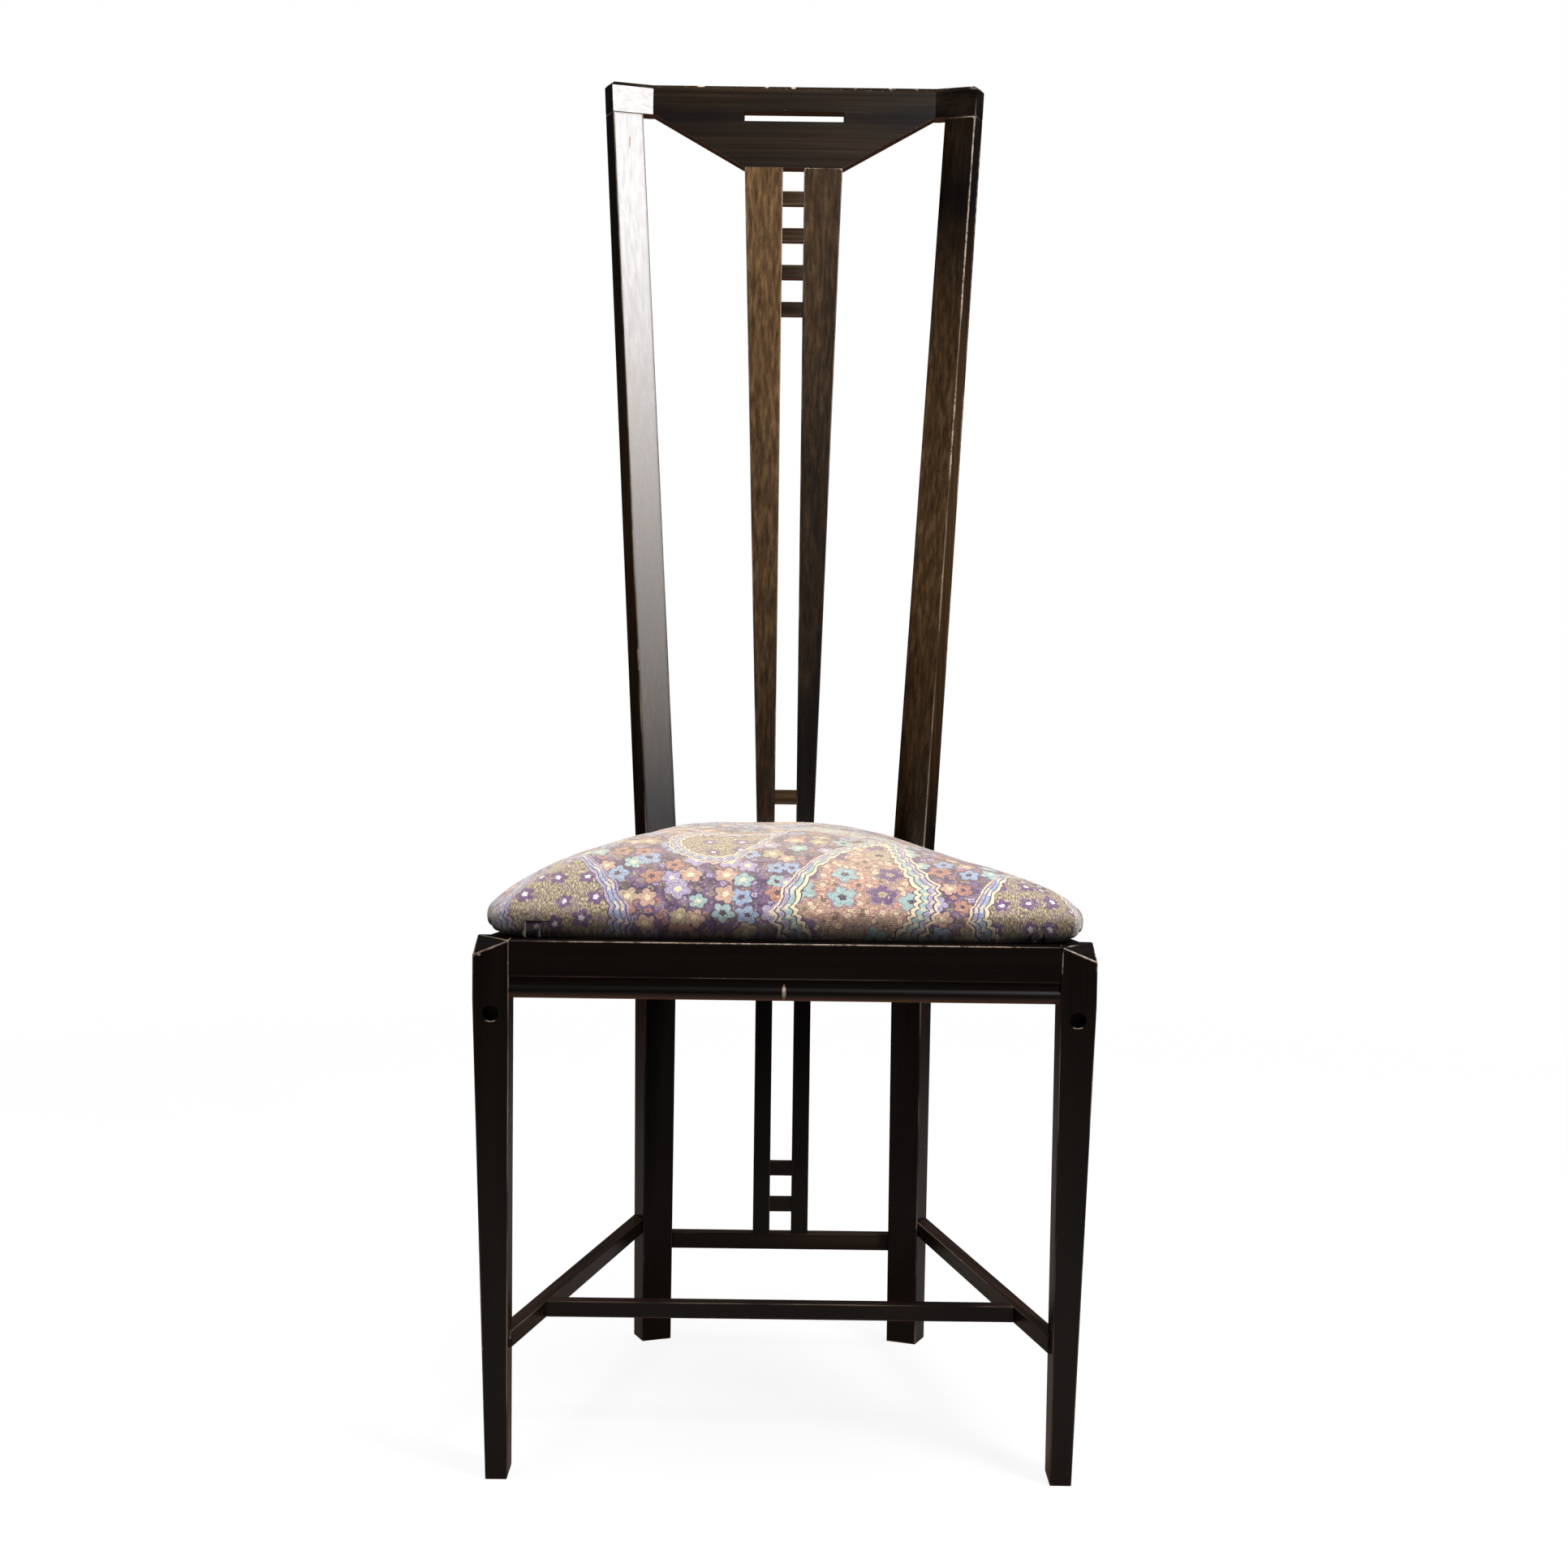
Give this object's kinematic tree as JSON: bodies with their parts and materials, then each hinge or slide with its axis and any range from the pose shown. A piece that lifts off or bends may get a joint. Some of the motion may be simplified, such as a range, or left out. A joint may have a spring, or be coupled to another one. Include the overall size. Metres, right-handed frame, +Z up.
{
  "type": "high back dining chair",
  "caption": "High back wooden dining chair with a wedge-shaped padded seat, two flared slats joined by short rungs, and a winged crest rail with a slot.",
  "frame": {"origin": "on the floor, under the middle of the chair's bounding box", "axes": "+Z up, +X to the right as seen from the front, -Y is the front; the left and right halves mirror each other in the plane X = 0"},
  "size_m": [0.475, 0.5154, 1.165],
  "materials": {
    "stained_wood": "dark brown stained and satin varnished hardwood, worn lighter along the edges",
    "bare_wood": "planed bare hardwood",
    "plywood": "bare plywood",
    "patterned_cloth": "woven tapestry cloth with a paisley and small flower pattern",
    "foam": "cut seat foam",
    "black_cloth": "thin black lining cloth",
    "steel": "zinc plated"
  },
  "bodies": {
    "root": {"front_leg_left": "stained_wood", "front_leg_right": "stained_wood", "rear_post_left": "stained_wood", "rear_post_right": "stained_wood", "front_rail": "stained_wood", "side_rail_left": "stained_wood", "side_rail_right": "stained_wood", "rear_rail": "stained_wood", "crest_rail": "stained_wood", "slat_left": "stained_wood", "slat_right": "stained_wood", "upper_rung_1": "stained_wood", "upper_rung_2": "stained_wood", "upper_rung_3": "stained_wood", "upper_rung_4": "stained_wood", "lower_rung": "stained_wood", "under_rung_1": "stained_wood", "under_rung_2": "stained_wood", "side_stretcher_left": "stained_wood", "side_stretcher_right": "stained_wood", "cross_stretcher": "stained_wood", "rear_stretcher": "stained_wood", "crest_dowels": "bare_wood", "corner_block_front_left": "bare_wood", "corner_block_front_right": "bare_wood", "corner_block_rear_left": "bare_wood", "corner_block_rear_right": "bare_wood", "block_screws": "steel", "seat_screws": "steel", "seat_board": "plywood", "seat_foam": "foam", "seat_cover": "patterned_cloth", "dust_cover": "black_cloth", "dust_cover_staples": "steel"}
  },
  "joints": []
}
